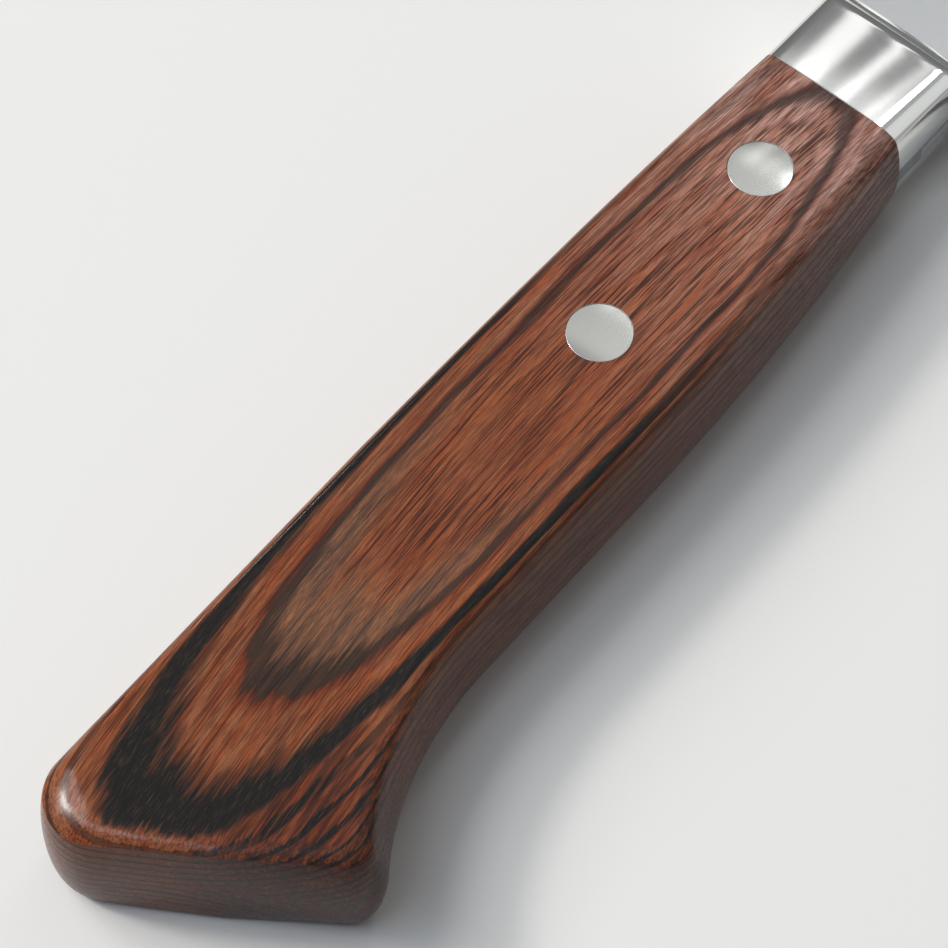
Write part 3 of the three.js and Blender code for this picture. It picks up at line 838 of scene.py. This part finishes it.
def bladeBottom(x):  # the edge, and behind it the chin and the underside of the neck
    if x >= heel.x:
        return edgeBelow(x)
    if x >= neckFront:
        return mix(chinTop.y, heel.y, (x - neckFront) / (heel.x - neckFront))
    if x <= chinBack:
        return -handle["jointBelly"]
    share = (x - chinBack) / blade["chinRadius"]
    return -handle["jointBelly"] - blade["chinRadius"] * (1 - (1 - share ** 2) ** 0.5)


def taperAt(x):
    return keep((x - neckFront) / (tip.x - neckFront), 0.0, 1.0)


def bladeHalf(x, y):  # half the thickness of the whole blade
    rise = max(0.0, y - edgeBelow(x))
    flat = mix(blade["neckHalf"], blade["tipHalf"], taperAt(x))
    if rise < blade["bevelHeight"]:
        return mix(blade["edgeHalf"], blade["bevelHalf"], rise / blade["bevelHeight"])
    ground = blade["bevelHalf"] + blade["grindSlope"] * (rise - blade["bevelHeight"])
    soft = blade["grindSoftness"]
    near = max(0.0, soft - abs(flat - ground)) / soft
    return min(flat, ground) - near * near * soft / 4


def innerHalf(x, y):  # half the thickness of the core under the outer layers
    return min(blade["coreHalf"], bladeHalf(x, y) - blade["seam"])


def cladRise(x, side):  # height above the edge where the outer layer is ground through, a wavy line
    level = blade["bevelHeight"] + (blade["coreHalf"] - blade["bevelHalf"]) / blade["grindSlope"]
    phase = 0.0 if side > 0 else blade["leftPhase"]
    wave = sum(height * sin(x / length + share * phase) for length, height, share in blade["waves"])
    return level + blade["cladWave"] * wave


def bladeStations():  # close together at the chin, the heel and the tip
    neck, chin, count = blade["neckSections"], blade["chinSections"], blade["bladeSections"]
    stations = [mix(blade["weldX"], chinBack, i / neck) for i in range(neck)]
    stations += [chinBack + blade["chinRadius"] * sin(pi / 2 * i / chin) for i in range(chin)]
    stations += [mix(neckFront, heel.x, i / chin) for i in range(chin)]
    stations += [heel.x + step for step in blade["heelSections"]]
    start = heel.x + blade["heelReach"]
    return stations + [mix(start, tip.x, 1 - (1 - i / count) ** blade["tipCrowding"]) for i in range(count)]


def loftSections(name, sections, material):  # a closed body through rings of equal length
    build = bmesh.new()
    rows = [[build.verts.new(spot(*p)) for p in section] for section in sections]
    count = len(rows[0])
    for here, there in zip(rows, rows[1:]):
        for j in range(count):
            build.faces.new((here[j], here[(j + 1) % count], there[(j + 1) % count], there[j]))
    build.faces.new(rows[0])
    build.faces.new(rows[-1])
    mesh = bpy.data.meshes.new(name)
    finishBody(build, mesh)
    mesh.materials.append(material)
    return newObject(name, mesh)


def drawCladding(name, side, material):
    sections = []
    for x in bladeStations():
        top = bladeTop(x)
        low = max(bladeBottom(x), edgeBelow(x) + cladRise(x, side))
        if top - low < leastClad:
            break
        rounding = mix(blade["spineRound"], blade["spineRoundTip"], taperAt(x))
        outer = []
        for k in range(blade["spineRoundSteps"] + 1):  # the spine's corner is eased
            angle = pi / 2 * k / blade["spineRoundSteps"]
            y = top - rounding * (1 - cos(angle))
            outer.append((y, bladeHalf(x, top - rounding) - rounding * (1 - sin(angle))))
        for k in range(1, blade["cladRows"] + 1):
            y = mix(top - rounding, low, k / blade["cladRows"])
            outer.append((y, bladeHalf(x, y)))
        inner = [(y, min(innerHalf(x, y), z - blade["seam"] / 2)) for y, z in reversed(outer)]
        sections.append([(x, y, side * z) for y, z in outer + inner])
    return loftSections(name, sections, material)


def drawCore(name, material):
    sections = []
    for x in bladeStations() + [tip.x - blade["tipGap"]]:
        top, bottom = bladeTop(x), bladeBottom(x)
        bevelMost = min(blade["bevelHeight"], (top - bottom) / blade["tipBevelParts"])
        halves = []
        for side in (1, -1):
            line = keep(edgeBelow(x) + cladRise(x, side), bottom, top)
            bevel = keep(edgeBelow(x) + bevelMost, bottom, line)
            bare = line > top - leastClad  # no outer layer is left near the tip
            covered = bladeHalf if bare else innerHalf
            ground = bladeHalf if bottom < line else innerHalf
            rows = [(y, covered(x, y)) for y in (top, line)]
            levels = [mix(line, bevel, k / blade["coreRows"]) for k in range(blade["coreRows"])]
            rows += [(y, ground(x, y)) for y in levels + [bevel, bottom]]
            halves.append([(x, y, side * z) for y, z in rows])
        sections.append(halves[0] + halves[1][::-1])
    return loftSections(name, sections, material)


# steel: one set of grinding marks, in millimetres, with its own measures for each finish
steels = {
    "bolsterSteel": {"colour": (222, 222, 219), "roughness": 0.075, "spread": 0.02, "markLength": 30.0,
                     "markWidth": 0.05, "markDepth": 0.0008, "cloudSize": 9.0, "shade": 0.06},
    "rivetSteel": {"colour": (194, 194, 189), "roughness": 0.15, "spread": 0.015, "markLength": 1.6,
                   "markWidth": 0.10, "markDepth": 0.0003, "cloudSize": 3.0, "shade": 0.12},
    "cladSteel": {"colour": (190, 191, 192), "roughness": 0.34, "spread": 0.03, "markLength": 40.0,
                  "markWidth": 0.06, "markDepth": 0.004, "cloudSize": 14.0, "shade": 0.12},
    "coreSteel": {"colour": (206, 208, 211), "roughness": 0.26, "spread": 0.05, "markLength": 40.0,
                  "markWidth": 0.05, "markDepth": 0.003, "cloudSize": 10.0, "shade": 0.12},
    "tangSteel": {"colour": (150, 150, 150), "roughness": 0.5, "spread": 0.08, "markLength": 8.0,
                  "markWidth": 0.10, "markDepth": 0.01, "cloudSize": 9.0, "shade": 0.12},
}
grinding = {
    "markNoise": (4.0, 0.7), "cloudNoise": (3.0, 0.5),  # detail and roughness
    "markShare": 0.6, "cloudShare": 0.4, "wanderFrom": 0.3, "wanderTo": 0.7, "bumpStrength": 0.5,
}


def grindMarksGroup():
    tree, put, given = newTree("grindMarks", "ShaderNodeTree", {
        "Vector": "Vector", "Mark Length": 12.0, "Mark Width": 0.06, "Cloud Size": 9.0,
    }, {"Marks": "Float", "Cloud": "Float"})
    along = over(1.0, given["Mark Length"])
    across = over(1.0, given["Mark Width"])
    markPlace = vec("MULTIPLY", given["Vector"], fromAxes(along, across, across))
    cloudPlace = scaled(given["Vector"], over(1.0, given["Cloud Size"]))
    marks = noiseAt(markPlace, *grinding["markNoise"])
    cloud = noiseAt(cloudPlace, *grinding["cloudNoise"])
    put("NodeGroupOutput", {"Marks": marks, "Cloud": cloud})
    return tree


def handleMillimetres(put):  # the pattern's own place: millimetres from joint, rivet line and middle plane
    place = put("ShaderNodeTexCoord").outputs["Object"]
    return put("ShaderNodeMapping", {
        "Vector": place, "Scale": (1 / mm, 1 / mm, 1 / mm), "Location": [-c / mm for c in spot(0, 0)],
    }).outputs[0]


def steel(name):
    finish = steels[name]
    material, shader, put = newMaterial(name)
    seen = put("ShaderNodeGroup", {
        "Vector": handleMillimetres(put), "Mark Length": finish["markLength"],
        "Mark Width": finish["markWidth"], "Cloud Size": finish["cloudSize"],
    }, node_tree=grindMarks).outputs
    bright = linear(*finish["colour"])
    dull = (*[c * (1 - finish["shade"]) for c in bright[:3]], 1.0)
    wander = plus(times(seen["Marks"], grinding["markShare"]), times(seen["Cloud"], grinding["cloudShare"]))
    smoothest, roughest = finish["roughness"] - finish["spread"], finish["roughness"] + finish["spread"]
    rough = ramp(wander, grinding["wanderFrom"], grinding["wanderTo"], smoothest, roughest, "LINEAR")
    bump = put("ShaderNodeBump", {
        "Height": seen["Marks"], "Strength": grinding["bumpStrength"], "Distance": finish["markDepth"] * mm,
    })
    fill(shader, {
        "Base Color": blendColours(put, seen["Marks"], dull, bright), "Roughness": rough,
        "Normal": bump.outputs[0], "Metallic": 1.0,
    })
    return material


# laminated wood: dyed veneers in a shallow dome, so that the flat face cuts them into long ovals
wood = {
    "half": handle["half"], "pitch": 1.2, "dome": 1.16, "fullness": 2.8, "centreX": -45.0, "centreY": -0.8,
    "buttRadius": 46.0, "jointRadius": 121.0, "spineRadius": 7.6, "bellyRadius": 7.2,
    "bendFrom": -62.0, "bendTo": -86.0, "seed": 3.0,
    # the pale rose-grey on the next line is painted sheen, for where the real face mirrors the lights near
    # the joint
    "redBrown": (106, 34, 14), "orangeBrown": (164, 83, 42), "tan": (162, 108, 74), "rose": (212, 167, 152),
    "deepBrown": (44, 16, 8), "grey": (104, 79, 64), "charcoal": (22, 20, 19), "black": (8, 7, 7),
    "specular": 0.10, "coat": 0.32, "coatRoughness": 0.15, "bumpStrength": 0.35, "bumpDepth": 0.02,
}
leftWood = dict(wood, centreX=-58.0, centreY=1.5, buttRadius=40.0, seed=8.0)
veneerSizes = (
    "half", "pitch", "dome", "fullness", "centreX", "centreY", "buttRadius", "jointRadius", "spineRadius",
    "bellyRadius", "bendFrom", "bendTo", "seed",
)
laminate = {
    "buttLean": 0.0013, "jointLean": 0.0005, "seedSteps": (17.3, 5.1), "lineBack": 0.65, "ringPitch": 21.0,
    "figureDepth": 0.45, "poreDepth": 0.10, "frayDepth": 0.20, "bendFray": 0.28, "secondFray": 0.25,
    # noise: length and width in millimetres, detail and roughness
    "figure": (22.0, 5.0, 2.0, 0.55), "fray": (7.0, 0.55, 3.0, 0.65), "pores": (7.0, 0.17, 1.5, 0.55),
    "streaks": (11.0, 1.0, 4.0, 0.6), "fine": (1.6, 0.13, 2.0, 0.6),
    # masks: where each begins and where it is full, in millimetres, veneers or noise
    "secondStart": (1.45, 1.75), "secondEnd": (3.1, 2.8), "greyReach": (-42.0, -78.0),
    "frontReach": (-52.0, -18.0), "sheenReach": (-24.0, -4.0), "armDrop": (-4.0, -8.0),
    "cornerDrop": (-3.5, -11.5), "cornerReach": (-86.0, -98.0), "cornerLevel": (2.05, 2.2),
    "cornerFray": (0.40, 0.60), "heartLevel": (0.10, -0.02), "heartFray": (0.50, 0.62),
    "laterReach": (2.5, 4.5), "haloStart": (-0.04, 0.02), "haloEnd": (0.22, 0.0), "ringStart": (0.55, 1.0),
    # dark bands on a glue line, in veneers: reach and softness behind it, then ahead, each with its growth
    "edgeBand": ((0.20, 0.05), (0.13, 0.0), (0.09, 0.0), (0.10, 0.0)),
    "greyBand": ((0.62, 0.0), (0.26, 0.0), (0.04, 0.0), (0.06, 0.0)),
    "blackBand": ((0.50, 0.06), (0.18, 0.12), (0.18, 0.08), (0.12, 0.10)), "armWidth": 0.33,
    "lineBand": ((0.09, 0.26), (0.11, 0.0), (0.09, 0.10), (0.11, 0.0)),
    # how strongly each mark shows
    "edgeShare": 0.78, "frontFade": 0.62, "lineShare": 0.5, "laterShare": 0.35, "cornerShare": 0.7,
    # the front and joint shares on the next line set how strong the painted sheen is
    "heartShare": 0.55, "frontSheen": 0.36, "jointSheen": 0.64,
}


def veneersGroup():
    masks = ("Level", "Halo", "Grey", "Dark", "Rings", "Streaks", "Pores", "Fine", "Figure", "Front",
             "Corner")
    tree, put, given = newTree("veneers", "ShaderNodeTree", {
        "Vector": "Vector", **dict.fromkeys(veneerSizes, 1.0),
    }, dict.fromkeys(masks, "Float"))
    axis = axesOf(given["Vector"])

    def square(value):
        return times(value, value)

    def centred(value, amount):
        return times(minus(value, 0.5), amount)

    fromCentreX = minus(axis[0], given["centreX"])
    fromCentreY = minus(axis[1], given["centreY"])
    # the fibres bend down towards the butt, and a little towards the joint
    buttLean = times(square(calc("MINIMUM", fromCentreX, 0.0)), laminate["buttLean"])
    jointLean = times(square(calc("MAXIMUM", fromCentreX, 0.0)), laminate["jointLean"])
    seedX, seedZ = [times(given["seed"], step) for step in laminate["seedSteps"]]
    grain = vec("ADD", given["Vector"], fromAxes(seedX, plus(buttLean, jointLean), seedZ))

    def noise(name):
        length, width, detail, roughness = laminate[name]
        return noiseAt(vec("MULTIPLY", grain, (1 / length, 1 / width, 1 / width)), detail, roughness)

    def outward(value, above, below):  # share of the oval's radius, which differs on the centre's two sides
        share = plus(over(calc("MAXIMUM", value, 0.0), given[above]),
                     over(calc("MINIMUM", value, 0.0), given[below]))
        return calc("POWER", calc("ABSOLUTE", share), given["fullness"])

    oval = plus(outward(fromCentreX, "jointRadius", "buttRadius"),
                outward(fromCentreY, "spineRadius", "bellyRadius"))
    dome = times(given["dome"], calc("POWER", oval, over(2.0, given["fullness"])))
    below = minus(given["half"], calc("ABSOLUTE", axis[2]))
    bend = ramp(axis[0], given["bendFrom"], given["bendTo"])
    figure, fray, pores = noise("figure"), noise("fray"), noise("pores")
    smooth = plus(plus(below, dome), centred(figure, laminate["figureDepth"]))
    # the second veneer frays into long streaks where the oval bends round
    second = times(ramp(smooth, *laminate["secondStart"]), ramp(smooth, *laminate["secondEnd"]))
    bendFray = calc("MULTIPLY_ADD", second, laminate["secondFray"], laminate["bendFray"])
    frayed = calc("MULTIPLY_ADD", bend, bendFray, laminate["frayDepth"])
    depth = plus(plus(smooth, centred(fray, frayed)), centred(pores, laminate["poreDepth"]))
    level = over(depth, given["pitch"])
    number = calc("FLOOR", plus(level, laminate["lineBack"]))
    offset = minus(level, number)
    isFirst = calc("COMPARE", number, 1.0, 0.1)
    isSecond = calc("COMPARE", number, 2.0, 0.1)
    isLater = calc("GREATER_THAN", number, 2.5)
    draw = put("ShaderNodeTexWhiteNoise", {"W": plus(number, given["seed"])}, noise_dimensions="1D")
    chance = draw.outputs["Value"]

    def band(name, growth, least=None):
        back, backSoft, ahead, aheadSoft = [
            calc("MULTIPLY_ADD", growth, more, size) for size, more in laminate[name]
        ]
        if least is not None:
            ahead = calc("MAXIMUM", ahead, least)
        low = times(back, -1.0)
        rise = ramp(offset, low, plus(low, backSoft))
        fall = ramp(offset, minus(ahead, aheadSoft), ahead, 1.0, 0.0)
        return times(rise, fall)

    edge = times(band("edgeBand", bend), isFirst)
    greyReach = ramp(axis[0], *laminate["greyReach"])
    grey = times(times(band("greyBand", bend), isFirst), greyReach)
    arm = ramp(axis[1], *laminate["armDrop"], 0.0, laminate["armWidth"])
    front = ramp(axis[0], *laminate["frontReach"])
    fade = calc("MULTIPLY_ADD", front, -laminate["frontFade"], 1.0)
    black = times(times(isSecond, band("blackBand", bend, arm)), fade)
    later = ramp(number, *laminate["laterReach"])
    lineShare = calc("MULTIPLY_ADD", later, laminate["laterShare"], laminate["lineShare"])
    lines = times(times(isLater, band("lineBand", chance)), lineShare)
    heart = times(ramp(level, *laminate["heartLevel"]), ramp(fray, *laminate["heartFray"]))
    # dark streaks run from the black veneer into the butt's belly corner, also darkened as painted shade
    corner = times(ramp(axis[1], *laminate["cornerDrop"]), ramp(axis[0], *laminate["cornerReach"]))
    corner = times(corner, ramp(level, *laminate["cornerLevel"]))
    cornerStreaks = times(corner, ramp(fray, *laminate["cornerFray"]))
    dark = plus(black, lines)
    for mark, share in ((edge, "edgeShare"), (cornerStreaks, "cornerShare")):
        dark = calc("MULTIPLY_ADD", mark, laminate[share], dark)
    # painted sheen: a pale rose tint that grows towards the joint and over the face between the rivets
    sheenShare = plus(times(front, laminate["frontSheen"]),
                times(ramp(axis[0], *laminate["sheenReach"]), laminate["jointSheen"]))
    halo = times(ramp(offset, *laminate["haloEnd"]), ramp(offset, *laminate["haloStart"]))
    waves = calc("SINE", times(level, laminate["ringPitch"]))
    put("NodeGroupOutput", {
        "Level": level, "Halo": times(halo, isFirst), "Grey": grey,
        "Dark": calc("MULTIPLY_ADD", heart, laminate["heartShare"], dark, clamp=True),
        "Rings": ramp(waves, *laminate["ringStart"]), "Streaks": noise("streaks"), "Pores": pores,
        "Fine": noise("fine"), "Figure": figure, "Front": sheenShare, "Corner": corner,
    })
    return tree


# how the patterns tint the veneers: a pattern's low and high value, and the shares that these give
tints = {
    "streaks": (0.36, 0.64, 0.0, 1.0), "pores": (0.46, 0.60, 0.0, 1.0), "poreStreaks": (0.62, 0.40, 0.6, 1.0),
    "fine": (0.40, 0.66, 0.0, 1.0), "red": (0.35, 0.75, 0.0, 0.5), "tan": (0.95, 1.2, 0.40, 0.75),
    "rose": (0.38, 0.60, 0.30, 0.90), "deep": (0.5, 1.1, 0.92, 0.72), "grey": (0.62, 0.38, 0.2, 1.0),
    "paleDark": (0.52, 0.75, 0.0, 0.45), "gloss": (0.4, 0.7, 0.24, 0.40),
}
shares = {"rings": 0.30, "corner": 0.6, "halo": 0.75, "fine": 0.40, "greyPores": 0.62, "darkPores": 0.7,
          "grey": 0.85, "fineHeight": 0.5}


def laminatedWood(name, values):
    material, shader, put = newMaterial(name)
    seen = put("ShaderNodeGroup", {
        "Vector": handleMillimetres(put), **{size: values[size] for size in veneerSizes},
    }, node_tree=veneers).outputs

    def blend(a, b, share):
        sockets = [v if isinstance(v, bpy.types.NodeSocket) else linear(*values[v]) for v in (a, b)]
        return blendColours(put, share, *sockets)

    def span(pattern, tint):
        return ramp(seen[pattern], *tints[tint], "LINEAR")

    pores = times(span("Pores", "pores"), span("Streaks", "poreStreaks"))
    fine = span("Fine", "fine")
    brown = blend("orangeBrown", "redBrown", span("Figure", "red"))
    for colour, share in (
        ("tan", times(span("Streaks", "streaks"), span("Level", "tan"))),
        # painted sheen near the joint, spread along the streaks
        ("rose", times(seen["Front"], span("Streaks", "rose"))),
        ("redBrown", times(seen["Rings"], shares["rings"])),
        # painted shade, with the corner's own darker veneers: the butt's belly corner turns red-brown
        ("redBrown", times(seen["Corner"], shares["corner"])),
        ("redBrown", times(seen["Halo"], shares["halo"])),
        ("deepBrown", times(fine, shares["fine"])),
        ("deepBrown", times(pores, span("Level", "deep"))),
    ):
        brown = blend(brown, colour, share)
    greyPores = times(calc("MAXIMUM", pores, fine), shares["greyPores"])
    grey = blend(blend("tan", "grey", span("Streaks", "grey")), "charcoal", greyPores)
    darkPores = times(pores, shares["darkPores"])
    dark = blend(blend("charcoal", "grey", span("Fine", "paleDark")), "black", darkPores)
    greyed = blend(brown, grey, times(seen["Grey"], shares["grey"]))
    height = minus(times(seen["Fine"], shares["fineHeight"]), pores)
    bump = put("ShaderNodeBump", {
        "Height": height, "Strength": values["bumpStrength"], "Distance": values["bumpDepth"] * mm,
    })
    fill(shader, {
        "Base Color": blend(greyed, dark, seen["Dark"]), "Roughness": span("Pores", "gloss"),
        "Normal": bump.outputs[0], "Specular IOR Level": values["specular"], "Coat Weight": values["coat"],
        "Coat Roughness": values["coatRoughness"],
    })
    return material


edgeSection = edgeSectionTree()
sectionSkin = sectionSkinTree()
rivetHalves = rivetTree()
grindMarks = grindMarksGroup()
veneers = veneersGroup()

woodRight = laminatedWood("laminatedWoodRight", wood)
woodLeft = laminatedWood("laminatedWoodLeft", leftWood)
bolsterSteel, rivetSteel, cladSteel, coreSteel, tangSteel = [steel(name) for name in steels]
print("materials are ready")


def handOver(piece, slotName, *nodes, sharpAngle=35):
    smoothOver(piece.data, sharpAngle)
    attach(piece, "root")
    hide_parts(*nodes)


sides = ((1, "right"), (-1, "left"))
gripRings = handleRings()
for (side, word), finish in zip(sides, (woodRight, woodLeft)):
    scale = drawSkin("scale_" + word, gripRings, handle, side, finish)
    drillHeads(scale, side)
    handOver(scale, "laminated_wood", "handle_scale_" + word)
print("scales are drawn")

for side, word in sides:
    block = drawSkin("bolster_half_" + word, bolsterRings(), bolster, side, bolsterSteel,
                     bolster["neckHalf"], farCap=True)
    handOver(block, "bolster_steel", "bolster_" + word)
print("bolster is drawn")

shanks = drawRivets("rivet_shanks", 1, rivets["shankRadius"], 0.0, rivetSteel)
handOver(shanks, "rivet_steel", "front_rivet_male", "rear_rivet_male")
tubes = drawRivets("rivet_tubes", -1, rivets["tubeRadius"], rivets["boreRadius"], rivetSteel)
handOver(tubes, "rivet_steel", "front_rivet_female", "rear_rivet_female")
print("rivets are drawn")

for side, word in sides:
    handOver(drawCladding("blade_layer_" + word, side, cladSteel), "clad_steel", "cladding_" + word)
handOver(drawCore("blade_middle", coreSteel), "core_steel", "blade_core")
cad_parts["tang"].data.materials.clear()
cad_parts["tang"].data.materials.append(tangSteel)
print("blade is drawn")
